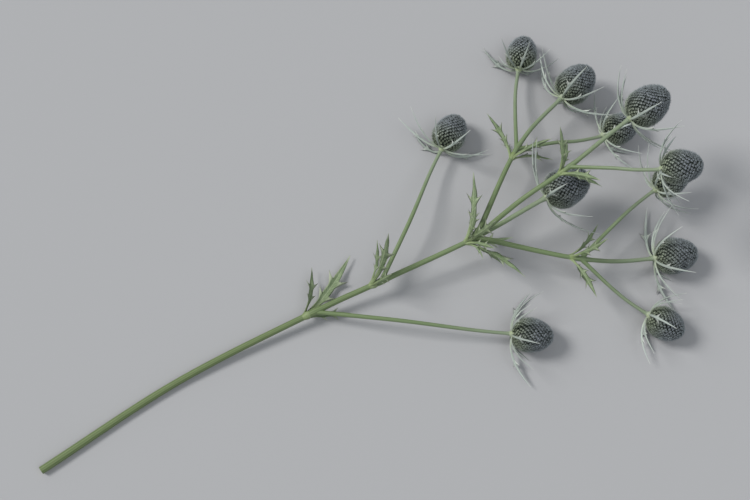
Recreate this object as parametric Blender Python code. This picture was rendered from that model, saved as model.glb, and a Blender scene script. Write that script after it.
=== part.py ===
"""A cut stem of sea holly lying on a flat surface, in metres, +Z up, the cut end towards -X.

One branched stem carries eleven egg-shaped flower heads. Under each head sits a ruff of narrow
spine-tipped bracts, and at each fork of the stem a whorl of toothed leaves. The stem, each head,
each ruff and each whorl is one solid. The low heads and the cut end rest on the surface at Z = 0.
"""

import math
import random

import bmesh
import bpy
import numpy as np
from mathutils import Matrix, Vector

# Puts the middle of the whole stem's box over the origin.
TO_ORIGIN = Vector((0.0513, -0.0012, 0.0))

# The stem: its thickness at the cut, and how far apart the rings of its tubes are at most.
CUT_RADIUS = 0.0030
RING_SPACING = 0.016
RECEPTACLE_FLARE = 1.5
STRAIGHT_NECK = 0.004
TUBE_DETAIL = 2
SAME_POINT = 1e-5
SMOOTH_BELOW = math.radians(40)

# Where the stem forks, and the two nodes below, as points on its middle line.
CUT_END = Vector((-0.318, -0.012, 0.00305))
LOW_RIGHT_NODE = Vector((-0.085, 0.006, 0.0105))
LOW_LEFT_NODE = Vector((-0.030, 0.004, 0.0165))
MAIN_FORK = Vector((0.048, 0.001, 0.0275))
LEFT_FORK = Vector((0.108, 0.050, 0.0255))
RIGHT_FORK = Vector((0.112, -0.048, 0.0245))
UPPER_FORK = Vector((0.126, 0.010, 0.0700))

# A head sits on its ruff's collar, and the collar on the end of the stem, a seat gap apart.
SEAT_GAP = 0.0003
COLLAR_RADIUS = 0.0036
COLLAR_THICKNESS = 0.0014
COLLAR_SIDES = 12
HEAD_LIFT = COLLAR_THICKNESS + 2 * SEAT_GAP

# A head's florets stand in rows round an egg whose widest place is nearer its base.
FLORET_COLUMNS = 14
FLORET_ROWS = 11
FLORET_HEIGHT = 0.0019
BASE_FLORET_HEIGHT = 0.0007
TOP_FLORET_HEIGHT = 0.0008
FLORET_LEAN = 0.0006
FLORET_SHORTFALL = 0.00024
WIDEST_AT = 0.38
RING_TOLERANCE = 0.01
BARE_BASE = 0.125

# A blade is a bract or a leaf lobe: a keeled strip with spines along its edges and a sharp tip.
BLADE_STEPS = 10
BLADE_HALF_THICKNESS = 0.00045
BLADE_FOLD = 0.35
BLADE_CLEARANCE = 0.0011
FLATTENS_BELOW = 0.009
LOWEST_BLADE = 0.0011
ROOT_DEPTH = 0.0016
ROOT_STEPS_UNTESTED = 2
SISTER_CLEARANCE = 0.0002
SISTER_STEPS_UNTESTED = 4
STEM_BALLS_A_RING = 6

# The collar of a leaf whorl, a ring round the stem.
WHORL_GAP = 0.0005
WHORL_WALL = 0.0018
WHORL_HEIGHT = 0.0034
WHORL_BELOW_FORK = 0.0065
WHORL_SIDES = 12
WHORL_SECTION_SIDES = 6

# Each shoot: its route from where it springs to the seat of its head, which way the head looks,
# the stem's radius where the shoot springs and at its neck, the head's length and width, and
# whether the head rests on the surface, which then sets the height of its seat.
SHOOTS = {
    "centre": {
        "route": [CUT_END, (-0.200, 0.004, 0.0036), LOW_RIGHT_NODE, LOW_LEFT_NODE, MAIN_FORK,
                  (0.106, 0.003, 0.0385)],
        "looks": (1.0, 0.03, 0.14), "radii": (CUT_RADIUS, 0.0017), "head": (0.034, 0.0270),
    },
    "left": {
        "route": [MAIN_FORK, LEFT_FORK, (0.158, 0.072, 0.0225)],
        "looks": (1.0, 0.36, -0.02), "radii": (0.0021, 0.0015), "head": (0.032, 0.0250),
    },
    "left_inner": {
        "route": [LEFT_FORK, (0.140, 0.043, 0.0180), (0.176, 0.034, 0.0142)],
        "looks": (1.0, -0.06, 0.0), "radii": (0.0015, 0.0013), "head": (0.027, 0.0215),
        "rests": True,
    },
    "left_outer": {
        "route": [LEFT_FORK, (0.124, 0.082, 0.0180), (0.142, 0.110, 0.0138)],
        "looks": (0.62, 0.80, 0.0), "radii": (0.0015, 0.0013), "head": (0.026, 0.0210),
        "rests": True,
    },
    "right": {
        "route": [MAIN_FORK, RIGHT_FORK, (0.164, -0.070, 0.0150)],
        "looks": (1.0, -0.34, 0.0), "radii": (0.0021, 0.0015), "head": (0.031, 0.0245),
        "rests": True,
    },
    "right_inner": {
        "route": [RIGHT_FORK, (0.146, -0.036, 0.0270), (0.186, -0.026, 0.0290)],
        "looks": (1.0, 0.12, 0.06), "radii": (0.0015, 0.0013), "head": (0.027, 0.0210),
    },
    "right_outer": {
        "route": [RIGHT_FORK, (0.124, -0.078, 0.0180), (0.140, -0.106, 0.0138)],
        "looks": (0.55, -0.84, 0.0), "radii": (0.0015, 0.0013), "head": (0.027, 0.0215),
        "rests": True,
    },
    "upper": {
        "route": [MAIN_FORK, (0.086, 0.006, 0.0560), UPPER_FORK, (0.178, 0.020, 0.0830)],
        "looks": (1.0, 0.16, 0.22), "radii": (0.0020, 0.0015), "head": (0.032, 0.0255),
    },
    "upper_side": {
        "route": [UPPER_FORK, (0.150, -0.008, 0.0850), (0.176, -0.026, 0.0980)],
        "looks": (0.90, -0.42, 0.34), "radii": (0.0014, 0.0013), "head": (0.027, 0.0215),
    },
    "low_left": {
        "route": [LOW_LEFT_NODE, (0.010, 0.036, 0.0210), (0.058, 0.078, 0.0150)],
        "looks": (0.80, 0.60, 0.0), "radii": (0.0017, 0.0013), "head": (0.028, 0.0225),
        "rests": True,
    },
    "low_right": {
        "route": [LOW_RIGHT_NODE, (-0.030, -0.030, 0.0180), (0.040, -0.074, 0.0150)],
        "looks": (0.86, -0.50, 0.0), "radii": (0.0017, 0.0013), "head": (0.029, 0.0230),
        "rests": True,
    },
}

# Each whorl: the shoot that passes through it, its fork, its leaves as (turn about the stem in
# degrees, length), and the lobes of a leaf as (turn from the leaf's middle in degrees, share of
# its length).
THREE_LOBES = ((0.0, 1.0), (-27.0, 0.62), (27.0, 0.62))
ONE_LOBE = ((0.0, 1.0),)
WHORLS = {
    "main": {"shoot": "centre", "fork": MAIN_FORK, "lobes": THREE_LOBES,
             "leaves": ((20.0, 0.050), (95.0, 0.046), (172.0, 0.050), (262.0, 0.044))},
    "left": {"shoot": "left", "fork": LEFT_FORK, "lobes": ONE_LOBE,
             "leaves": ((10.0, 0.036), (130.0, 0.034), (215.0, 0.036), (300.0, 0.030))},
    "right": {"shoot": "right", "fork": RIGHT_FORK, "lobes": ONE_LOBE,
              "leaves": ((0.0, 0.034), (75.0, 0.036), (160.0, 0.036), (250.0, 0.030))},
    "upper": {"shoot": "upper", "fork": UPPER_FORK, "lobes": ONE_LOBE,
              "leaves": ((40.0, 0.034), (140.0, 0.036), (235.0, 0.034), (320.0, 0.032))},
    "low_left": {"shoot": "centre", "fork": LOW_LEFT_NODE, "lobes": THREE_LOBES,
                 "leaves": ((62.0, 0.052),)},
    "low_right": {"shoot": "centre", "fork": LOW_RIGHT_NODE, "lobes": THREE_LOBES,
                  "leaves": ((-68.0, 0.058),)},
}

# A blade's outline. Each station is (share of the length, half width), and each tooth is (share
# of the length, reach outwards, reach forwards). Widths are for a blade 40 mm long. Its twist is
# how far it turns its face upwards, from 0 to 1.
NOMINAL_LENGTH = 0.040
BRACT = {
    "stations": ((0.0, 0.0010), (0.22, 0.0012), (0.42, 0.0016), (0.74, 0.0012)),
    "teeth": ((0.47, 0.0034, 0.0040),),
    "twist": 0.2,
}
LEAF = {
    "stations": ((0.0, 0.0014), (0.20, 0.0015), (0.40, 0.0023), (0.60, 0.0020), (0.82, 0.0011)),
    "teeth": ((0.32, 0.0036, 0.0040), (0.56, 0.0040, 0.0046)),
    "twist": 0.6,
}
TOOTH_BASE = 0.06
TOOTH_REACHES_BACK = 0.08
TOOTH_REACHES_ON = 0.16
TOOTH_ROOM = 0.8

# A ruff's bracts: how many, how long against the head, and how they spread, measured from the
# head's axis in degrees at the root and at the tip.
BRACT_COUNT = 8
BRACT_TURN_WOBBLE = 7.0
BRACT_LENGTHS = (1.22, 1.52)
ROOT_SPREAD = 100.0
TIP_SPREADS = (32.0, 66.0)
LEAF_ROOT_SPREAD = 44.0
LEAF_TIP_SPREAD = 66.0
SPREAD_EASE = 1.8

# How a blade that would cross something is bent clear: it is shortened, turned and lifted.
SHORTER = (1.0, 0.86, 0.72, 0.56)
TURNS = (0.0, 9.0, -9.0, 18.0, -18.0, 27.0, -27.0)
LIFTS = (0.0, -14.0, 14.0, -28.0, 28.0)

# The colour and the roughness of each material slot.
MATERIALS = {
    "stem_green": ((0.150, 0.200, 0.085), 0.55),
    "leaf_green": ((0.130, 0.185, 0.110), 0.60),
    "head_steel_blue": ((0.250, 0.300, 0.320), 0.65),
    "bract_silver_green": ((0.230, 0.290, 0.270), 0.55),
}


def unit(vector):
    return Vector(vector).normalized()


def smooth_route(points, last_direction):
    """Points of a smooth curve through the given ones, which ends along last_direction."""
    points = [Vector(p) for p in points]
    slopes = [points[1] - points[0]]
    for before, after in zip(points, points[2:]):
        slopes.append((after - before) / 2)
    slopes.append(last_direction * (points[-1] - points[-2]).length)
    route = [points[0]]
    for i in range(len(points) - 1):
        steps = max(2, round((points[i + 1] - points[i]).length / RING_SPACING))
        for k in range(1, steps + 1):
            t = k / steps
            route.append(
                points[i] * (2 * t**3 - 3 * t**2 + 1)
                + slopes[i] * (t**3 - 2 * t**2 + t)
                + points[i + 1] * (3 * t**2 - 2 * t**3)
                + slopes[i + 1] * (t**3 - t**2)
            )
    return route


def head_radius(height, length, width):
    """The egg's radius at a height above its base."""
    widest = WIDEST_AT * length
    span = widest if height < widest else length - widest
    share = min(1.0, abs(height - widest) / span)
    return width / 2 * math.sqrt(1 - share**2)


def head_bmesh(length, width):
    """A head with its base on the origin and its tip along +Z: an egg covered with florets."""
    bm = bmesh.new()
    bmesh.ops.create_uvsphere(bm, u_segments=FLORET_COLUMNS, v_segments=FLORET_ROWS, radius=1)
    widest = WIDEST_AT * length
    first_ring = -math.cos(math.pi / FLORET_ROWS)
    for vert in bm.verts:
        x, y, z = vert.co
        ring = round(math.acos(max(-1.0, min(1.0, -z))) * FLORET_ROWS / math.pi)
        turn = math.atan2(y, x) + ring * math.pi / FLORET_COLUMNS
        radius = math.hypot(x, y) * width / 2
        height = widest + z * (widest if z < 0 else length - widest)
        if z < first_ring + RING_TOLERANCE:
            height = 0.0
        vert.co = (radius * math.cos(turn), radius * math.sin(turn), height)
    row_height = length / FLORET_ROWS
    raised = [f for f in bm.faces if f.calc_center_median().z > row_height * BARE_BASE]
    for face in raised:
        middle = face.calc_center_median().z
        offset = FLORET_HEIGHT
        if middle < row_height:
            offset = BASE_FLORET_HEIGHT
        if len(face.verts) == 3:
            offset = TOP_FLORET_HEIGHT
        peak = bmesh.ops.poke(bm, faces=[face], offset=offset)["verts"][0]
        peak.co.z += FLORET_LEAN * offset / FLORET_HEIGHT
    bmesh.ops.recalc_face_normals(bm, faces=bm.faces)
    return bm


def seat_matrix(seat, looks):
    """Places a piece that was made on the origin, along +Z, at a shoot's end."""
    return Matrix.Translation(seat) @ looks.to_track_quat("Z", "Y").to_matrix().to_4x4()


def resting_height(width):
    """The height of the seat at which a level head's lowest florets just reach the surface."""
    return width / 2 * math.cos(math.pi / FLORET_COLUMNS) + FLORET_HEIGHT - FLORET_SHORTFALL


def grow_shoots():
    """Each shoot with its smooth route, its ring radii, its head's seat and the way it looks."""
    grown = {}
    for name, shoot in SHOOTS.items():
        looks = unit(shoot["looks"])
        length, width = shoot["head"]
        seat = Vector(shoot["route"][-1])
        if shoot.get("rests"):
            seat.z = resting_height(width)
        neck = seat - looks * STRAIGHT_NECK
        route = smooth_route([*shoot["route"][:-1], neck], looks)
        first, last = shoot["radii"]
        steps = len(route) - 1
        radii = [first + (last - first) * i / steps for i in range(steps + 1)]
        route.append(seat)
        radii.append(last * RECEPTACLE_FLARE)
        grown[name] = {"route": route, "radii": radii, "seat": seat, "looks": looks,
                       "length": length, "width": width}
    return grown


def with_midpoints(values):
    """The values with the middle of each pair of neighbours between them."""
    more = []
    for a, b in zip(values, values[1:]):
        more += [a, (a + b) / 2]
    return [*more, values[-1]]


class Clearance:
    """What a new blade has to stay clear of: stems, heads, blades of other pieces and, past
    their roots, the blades of its own piece. All but the heads are rows of small balls."""

    def __init__(self, shoots):
        self.shoots = shoots
        self.points, self.radii, self.owners, self.steps = [], [], [], []
        for shoot in shoots.values():
            for a, b, r in zip(shoot["route"], shoot["route"][1:], shoot["radii"]):
                for k in range(STEM_BALLS_A_RING):
                    self.add(a.lerp(b, k / STEM_BALLS_A_RING), r, "stem", 0)

    def add(self, point, radius, owner, step):
        self.points.append(tuple(point))
        self.radii.append(radius)
        self.owners.append(owner)
        self.steps.append(step)

    def add_blade(self, line, reach, owner):
        for i, (point, radius) in enumerate(zip(with_midpoints(line), with_midpoints(reach))):
            if i / 2 >= ROOT_STEPS_UNTESTED:
                self.add(point, radius, owner, i / 2)

    def in_a_head(self, points, reach):
        for shoot in self.shoots.values():
            for point, radius in zip(points, reach):
                local = point - shoot["seat"]
                height = local.dot(shoot["looks"]) - HEAD_LIFT
                if not -radius < height < shoot["length"] + FLORET_HEIGHT + radius:
                    continue
                out = (local - shoot["looks"] * local.dot(shoot["looks"])).length
                inside = min(max(height, 0.0), shoot["length"])
                solid = head_radius(inside, shoot["length"], shoot["width"]) + FLORET_HEIGHT
                if out < solid + radius:
                    return True
        return False

    def touches(self, line, reach, which, clearance):
        fixed = np.array(self.points)[which]
        room = np.array(self.radii)[which]
        for point, radius in zip(line, reach):
            apart = np.linalg.norm(fixed - np.array(point), axis=1)
            if (apart < room + radius + clearance).any():
                return True
        return False

    def is_clear(self, line, reach, owner):
        line = with_midpoints(line)
        reach = with_midpoints(reach)
        past_root = 2 * ROOT_STEPS_UNTESTED
        past_sisters = 2 * SISTER_STEPS_UNTESTED
        own = np.array([o == owner for o in self.owners])
        sisters = own & (np.array(self.steps) >= SISTER_STEPS_UNTESTED)
        if self.in_a_head(line[past_root:], [r + BLADE_CLEARANCE for r in reach[past_root:]]):
            return False
        if self.touches(line[past_root:], reach[past_root:], ~own, BLADE_CLEARANCE):
            return False
        return not self.touches(line[past_sisters:], reach[past_sisters:], sisters,
                                SISTER_CLEARANCE)


def blade_line(root, axis, out, length, root_spread, tip_spread):
    """A blade's middle line. It leaves the root at root_spread from the axis, turns to
    tip_spread, and runs along the surface where it would go through it."""
    step = length / BLADE_STEPS
    line = [root.copy()]
    for k in range(BLADE_STEPS):
        still_to_turn = (1 - (k + 0.5) / BLADE_STEPS) ** SPREAD_EASE
        spread = math.radians(tip_spread + (root_spread - tip_spread) * still_to_turn)
        way = axis * math.cos(spread) + out * math.sin(spread)
        above = line[-1].z - LOWEST_BLADE
        if way.z < 0 and above < FLATTENS_BELOW:
            way.z *= max(0.0, above - step * 0.5) / FLATTENS_BELOW
            way.normalize()
        line.append(line[-1] + way * step)
    return line


def blade_frames(line, side, twist):
    """At each point of the line: the point, the way forwards, sideways, and out of the face.
    A blade turns its face upwards along its length by the share twist, and fully where it
    comes near the surface."""
    frames = []
    last_level = side
    for i, point in enumerate(line):
        forward = (line[min(i + 1, len(line) - 1)] - line[max(i - 1, 0)]).normalized()
        across = (side - forward * side.dot(forward)).normalized()
        level = Vector((0, 0, 1)).cross(forward)
        if level.dot(last_level) < 0:
            level.negate()
        last_level = level
        near = 1 - min(1.0, max(0.0, point.z - LOWEST_BLADE) / FLATTENS_BELOW)
        share = max(near, twist) * min(1.0, 2 * i / BLADE_STEPS) * min(1.0, 2 * level.length)
        angle = math.atan2(forward.dot(across.cross(level)), across.dot(level))
        across = Matrix.Rotation(angle * share, 3, forward) @ across
        frames.append((point, forward, across, forward.cross(across).normalized()))
    return frames


def frame_at(frames, share):
    """The frame at a share of the blade's length, between two of its steps."""
    place = min(share, 1.0) * (len(frames) - 1)
    i = min(int(place), len(frames) - 2)
    parts = zip(frames[i], frames[i + 1])
    return [a.lerp(b, place - i) for a, b in parts]


def half_width(outline, share):
    """The outline's half width at a share of the length, with straight lines between stations."""
    stations = [*outline["stations"], (1.0, 0.0)]
    for (s0, w0), (s1, w1) in zip(stations, stations[1:]):
        if share <= s1:
            return w0 + (w1 - w0) * (share - s0) / (s1 - s0)
    return 0.0


def reach_of(outline, scale):
    """How far the blade reaches from its middle line at each step, its teeth included."""
    reach = []
    for i in range(BLADE_STEPS + 1):
        share = i / BLADE_STEPS
        wide = half_width(outline, share)
        for at, outwards, _ in outline["teeth"]:
            if at - TOOTH_REACHES_BACK < share < at + TOOTH_REACHES_ON:
                wide += outwards * TOOTH_ROOM
        reach.append(max(wide * scale, BLADE_HALF_THICKNESS))
    return reach


def blade_rings(frames, outline, scale):
    """The blade's sections from root to tip, each a left edge, a top, a right edge and a bottom.
    The edges are pushed out and forwards where a tooth stands."""
    places = [(share, half_width(outline, share), 0.0) for share, _ in outline["stations"]]
    for at, outwards, forwards in outline["teeth"]:
        places.append((at, half_width(outline, at) + outwards, forwards))
        places.append((at + TOOTH_BASE, half_width(outline, at + TOOTH_BASE), 0.0))
    rings = []
    for share, wide, forwards in sorted(places):
        point, forward, across, normal = frame_at(frames, share)
        edge_lift = normal * (BLADE_FOLD * half_width(outline, share) * scale)
        reach = across * (wide * scale)
        along = forward * (forwards * scale)
        thick = normal * BLADE_HALF_THICKNESS
        rings.append((point + reach + along + edge_lift, point + thick,
                      point - reach + along + edge_lift, point - thick))
    return rings


def place_blade(clearance, owner, seat, outline, turn, length, spreads):
    """The frames of a blade that is clear of every other piece, or None if none is found.
    seat gives the root circle's centre, the axis, the direction of turn 0, and its radius."""
    centre, axis, zero, radius = seat
    scale = length / NOMINAL_LENGTH
    for shorter in SHORTER:
        reach = reach_of(outline, scale * shorter)
        for lift in LIFTS:
            for more in TURNS:
                out = Matrix.Rotation(math.radians(turn + more), 3, axis) @ zero
                root = centre + out * (radius - ROOT_DEPTH)
                line = blade_line(root, axis, out, length * shorter, spreads[0], spreads[1] + lift)
                frames = blade_frames(line, axis.cross(out), outline["twist"])
                rings = blade_rings(frames, outline, scale * shorter)
                if min(corner.z for ring in rings for corner in ring) < 0:
                    continue
                if clearance.is_clear(line, reach, owner):
                    clearance.add_blade(line, reach, owner)
                    return frames, scale * shorter
    return None


def place_whorls(shoots, clearance):
    """The collar and the leaf lobes of each whorl."""
    placed = {}
    for name, whorl in WHORLS.items():
        shoot = shoots[whorl["shoot"]]
        route, radii = shoot["route"], shoot["radii"]
        at = min(range(len(route)), key=lambda i: (route[i] - Vector(whorl["fork"])).length)
        axis = (route[at] - route[at - 1]).normalized()
        centre = route[at] - axis * WHORL_BELOW_FORK
        inner = radii[at] + WHORL_GAP
        middle = inner + WHORL_WALL / 2
        zero = axis.cross(Vector((0, 1, 0))).cross(axis).normalized()
        seat = (centre, axis, zero, middle + ROOT_DEPTH)
        blades = []
        for turn, length in whorl["leaves"]:
            for lobe_turn, share in whorl["lobes"]:
                spreads = (LEAF_ROOT_SPREAD, LEAF_TIP_SPREAD)
                blade = place_blade(clearance, "whorl_" + name, seat, LEAF, turn + lobe_turn,
                                    length * share, spreads)
                if blade:
                    blades.append(blade)
        placed[name] = {"centre": centre, "axis": axis, "inner": inner, "blades": blades}
    return placed


def place_ruffs(shoots, clearance):
    """The bracts of each ruff, spread evenly round the head with small seeded differences."""
    placed = {}
    for number, (name, shoot) in enumerate(shoots.items()):
        rng = random.Random(number + 1)
        looks = shoot["looks"]
        centre = shoot["seat"] + looks * (SEAT_GAP + COLLAR_THICKNESS / 2)
        zero = looks.cross(Vector((0, 0, 1))).normalized()
        seat = (centre, looks, zero, COLLAR_RADIUS)
        phase = rng.uniform(0, 360 / BRACT_COUNT)
        blades = []
        for k in range(BRACT_COUNT):
            wobble = rng.uniform(-BRACT_TURN_WOBBLE, BRACT_TURN_WOBBLE)
            turn = phase + 360 * k / BRACT_COUNT + wobble
            length = shoot["length"] * rng.uniform(*BRACT_LENGTHS)
            spreads = (ROOT_SPREAD, rng.uniform(*TIP_SPREADS))
            blade = place_blade(clearance, "ruff_" + name, seat, BRACT, turn, length, spreads)
            if blade:
                blades.append(blade)
        placed[name] = {"centre": centre, "blades": blades}
    return placed


def make_material(name):
    colour, roughness = MATERIALS[name]
    material = bpy.data.materials.new(name)
    material.use_nodes = True
    shader = material.node_tree.nodes["Principled BSDF"]
    shader.inputs["Base Color"].default_value = (*colour, 1.0)
    shader.inputs["Roughness"].default_value = roughness
    shader.inputs["Metallic"].default_value = 0.0
    return material


def object_from_bmesh(name, bm, collection):
    mesh = bpy.data.meshes.new(name)
    bm.to_mesh(mesh)
    bm.free()
    made = bpy.data.objects.new(name, mesh)
    collection.objects.link(made)
    return made


def blade_bmesh(frames, outline, scale):
    """A keeled blade: a loft through its sections, closed at the root, and pointed at the tip."""
    bm = bmesh.new()
    rings = []
    for ring in blade_rings(frames, outline, scale):
        rings.append([bm.verts.new(corner) for corner in ring])
    tip = bm.verts.new(frames[-1][0])
    bm.faces.new(rings[0])
    for near, far in zip(rings, rings[1:]):
        for edge in (0, 2):
            for face in (1, 3):
                bm.faces.new((near[edge], near[face], far[edge]))
                bm.faces.new((near[face], far[face], far[edge]))
    for i in range(4):
        bm.faces.new((rings[-1][i], rings[-1][(i + 1) % 4], tip))
    bmesh.ops.recalc_face_normals(bm, faces=bm.faces)
    return bm


def fuse(name, first, others, collection):
    """One solid from a piece and a collection of the pieces that grow from it."""
    union = first.modifiers.new("Fuse", "BOOLEAN")
    union.operation = "UNION"
    union.operand_type = "COLLECTION"
    union.collection = others
    union.solver = "EXACT"
    bpy.context.view_layer.update()
    graph = bpy.context.evaluated_depsgraph_get()
    mesh = bpy.data.meshes.new_from_object(first.evaluated_get(graph))
    made = bpy.data.objects.new(name, mesh)
    collection.objects.link(made)
    for piece in [first, *others.objects]:
        bpy.data.objects.remove(piece)
    bpy.data.collections.remove(others)
    return made


def loose_collection(name):
    made = bpy.data.collections.new(name)
    bpy.context.scene.collection.children.link(made)
    return made


def set_origin(made, matrix):
    """Moves an object's origin to matrix and leaves its shape where it is."""
    made.data.transform(matrix.inverted())
    made.matrix_world = matrix


def finish(made, material, parent, smooth_angle=None):
    made.data.materials.clear()
    made.data.materials.append(material)
    if smooth_angle is not None:
        made.data.shade_smooth()
        made.data.set_sharp_from_angle(angle=smooth_angle)
    made.parent = parent


def tube(name, shoot, collection):
    """One shoot as a round tube along its route, with both ends closed."""
    curve = bpy.data.curves.new(name, "CURVE")
    curve.dimensions = "3D"
    curve.bevel_depth = 1.0
    curve.bevel_resolution = TUBE_DETAIL
    curve.use_fill_caps = True
    spline = curve.splines.new("POLY")
    spline.points.add(len(shoot["route"]) - 1)
    for point, place, radius in zip(spline.points, shoot["route"], shoot["radii"]):
        point.co = (*place, 1.0)
        point.radius = radius
    source = bpy.data.objects.new(name + "_curve", curve)
    collection.objects.link(source)
    bpy.context.view_layer.update()
    graph = bpy.context.evaluated_depsgraph_get()
    mesh = bpy.data.meshes.new_from_object(source.evaluated_get(graph))
    bpy.data.objects.remove(source)
    bm = bmesh.new()
    bm.from_mesh(mesh)
    bmesh.ops.remove_doubles(bm, verts=bm.verts, dist=SAME_POINT)
    bmesh.ops.recalc_face_normals(bm, faces=bm.faces)
    bm.to_mesh(mesh)
    bm.free()
    made = bpy.data.objects.new(name, mesh)
    collection.objects.link(made)
    return made


def build_stem(shoots, collection, parent, material):
    others = loose_collection("shoots")
    tubes = [tube("shoot_" + name, shoot, others) for name, shoot in shoots.items()]
    others.objects.unlink(tubes[0])
    collection.objects.link(tubes[0])
    stem = fuse("stem", tubes[0], others, collection)
    finish(stem, material, parent, SMOOTH_BELOW)


def build_head(name, shoot, collection, parent, material):
    head = object_from_bmesh("head_" + name, head_bmesh(shoot["length"], shoot["width"]), collection)
    seat = shoot["seat"] + shoot["looks"] * HEAD_LIFT
    head.matrix_world = seat_matrix(seat, shoot["looks"])
    finish(head, material, parent)


def add_blades(blades, outline, name):
    others = loose_collection(name + "_blades")
    for i, (frames, scale) in enumerate(blades):
        object_from_bmesh(f"{name}_blade_{i}", blade_bmesh(frames, outline, scale), others)
    return others


def build_ruff(name, shoot, ruff, collection, parent, material):
    place = seat_matrix(ruff["centre"], shoot["looks"])
    bm = bmesh.new()
    bmesh.ops.create_cone(bm, cap_ends=True, segments=COLLAR_SIDES, radius1=COLLAR_RADIUS,
                          radius2=COLLAR_RADIUS, depth=COLLAR_THICKNESS, matrix=place)
    collar = object_from_bmesh("collar", bm, collection)
    made = fuse("ruff_" + name, collar, add_blades(ruff["blades"], BRACT, name), collection)
    set_origin(made, place)
    finish(made, material, parent)


def build_whorl(name, whorl, collection, parent, material):
    """A ring round the stem, made from a torus stretched along the stem, with its leaves."""
    place = seat_matrix(whorl["centre"], whorl["axis"])
    stretch = Matrix.Diagonal((1, 1, WHORL_HEIGHT / WHORL_WALL, 1))
    bpy.ops.mesh.primitive_torus_add(
        major_segments=WHORL_SIDES, minor_segments=WHORL_SECTION_SIDES,
        major_radius=whorl["inner"] + WHORL_WALL / 2, minor_radius=WHORL_WALL / 2,
        location=(0, 0, 0))
    ring = bpy.context.object
    ring.data.transform(place @ stretch)
    for user in list(ring.users_collection):
        user.objects.unlink(ring)
    collection.objects.link(ring)
    made = fuse("whorl_" + name, ring, add_blades(whorl["blades"], LEAF, name), collection)
    set_origin(made, place)
    finish(made, material, parent)


def main():
    for old in list(bpy.data.objects):
        bpy.data.objects.remove(old)
    collection = loose_collection("sea_holly_stem")
    parent = bpy.data.objects.new("sea_holly", None)
    parent.location = TO_ORIGIN
    collection.objects.link(parent)
    slots = {name: make_material(name) for name in MATERIALS}
    shoots = grow_shoots()
    clearance = Clearance(shoots)
    whorls = place_whorls(shoots, clearance)
    ruffs = place_ruffs(shoots, clearance)
    build_stem(shoots, collection, parent, slots["stem_green"])
    for name, whorl in whorls.items():
        build_whorl(name, whorl, collection, parent, slots["leaf_green"])
    for name, shoot in shoots.items():
        build_ruff(name, shoot, ruffs[name], collection, parent, slots["bract_silver_green"])
        build_head(name, shoot, collection, parent, slots["head_steel_blue"])
    bpy.context.view_layer.update()


main()
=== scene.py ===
"""The looks of a cut stem of sea holly lying on a pale surface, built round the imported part.

The layout is the part's own: where each shoot, head, ruff and leaf stands. The pieces on it are
finer: hundreds of spiky florets on a head, bracts and leaves with a midrib, veins and needle
points, and a ribbed stem.
"""

import math
import random

import bpy
import numpy as np
from mathutils import Matrix, Vector

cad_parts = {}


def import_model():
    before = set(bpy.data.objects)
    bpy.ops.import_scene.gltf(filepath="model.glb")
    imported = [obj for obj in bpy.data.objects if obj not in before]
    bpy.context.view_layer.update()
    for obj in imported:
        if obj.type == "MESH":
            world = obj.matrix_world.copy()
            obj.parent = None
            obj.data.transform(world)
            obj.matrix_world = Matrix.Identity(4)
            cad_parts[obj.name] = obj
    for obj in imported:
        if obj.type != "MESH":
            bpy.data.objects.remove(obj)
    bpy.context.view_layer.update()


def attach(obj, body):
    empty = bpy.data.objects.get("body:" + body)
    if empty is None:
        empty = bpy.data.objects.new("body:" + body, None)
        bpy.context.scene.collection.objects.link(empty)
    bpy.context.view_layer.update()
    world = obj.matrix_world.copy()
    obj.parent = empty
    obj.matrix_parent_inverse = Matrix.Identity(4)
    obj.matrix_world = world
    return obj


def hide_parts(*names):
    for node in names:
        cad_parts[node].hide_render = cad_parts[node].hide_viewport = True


UP = Vector((0, 0, 1))

# Puts the middle of the whole stem's box over the origin.
TO_ORIGIN = Vector((0.0513, -0.0012, 0.0))

# The stem: its radius at the cut, how far apart the rings of its tubes are at most, and its
# flare and straight neck under a head.
CUT_RADIUS = 0.003
RING_SPACING = 0.016
NECK_FLARE = 1.5
STRAIGHT_NECK = 0.004

# Where the stem forks, and the two nodes below, as points on its middle line.
CUT_END = Vector((-0.318, -0.012, 0.00305))
LOW_RIGHT_NODE = Vector((-0.085, 0.006, 0.0105))
LOW_LEFT_NODE = Vector((-0.03, 0.004, 0.0165))
MAIN_FORK = Vector((0.048, 0.001, 0.0275))
LEFT_FORK = Vector((0.108, 0.05, 0.0255))
RIGHT_FORK = Vector((0.112, -0.048, 0.0245))
UPPER_FORK = Vector((0.126, 0.01, 0.07))

# A head sits on its ruff's collar, and the collar on the end of the stem, a seat gap apart.
SEAT_GAP = 0.0003
COLLAR_RADIUS = 0.0036
COLLAR_HEIGHT = 0.0014
HEAD_LIFT = COLLAR_HEIGHT + 2 * SEAT_GAP

# The part's own heads: their florets around, how far these stand out and how much less the
# lowest reach, and how far along the egg is widest, as a share of its length.
FLORET_COLUMNS = 14
FLORET_HEIGHT = 0.0019
FLORET_SHORTFALL = 0.00024
WIDEST_AT = 0.38

# A blade is a bract or a leaf lobe: a keeled strip with spines along its edges and a sharp tip.
BLADE_STEPS = 10
HALF_THICKNESS = 0.00045
BLADE_FOLD = 0.35
BLADE_CLEARANCE = 0.0011
FLATTENS_BELOW = 0.009
LOWEST_BLADE = 0.0011
ROOT_DEPTH = 0.0016
ROOT_STEPS = 2
SISTER_CLEARANCE = 0.0002
SISTER_STEPS = 4
BALLS_A_RING = 6

# The collar of a leaf whorl, a ring round the stem.
WHORL_GAP = 0.0005
WHORL_WALL = 0.0018
WHORL_HEIGHT = 0.0034
WHORL_BELOW_FORK = 0.0065

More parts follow.
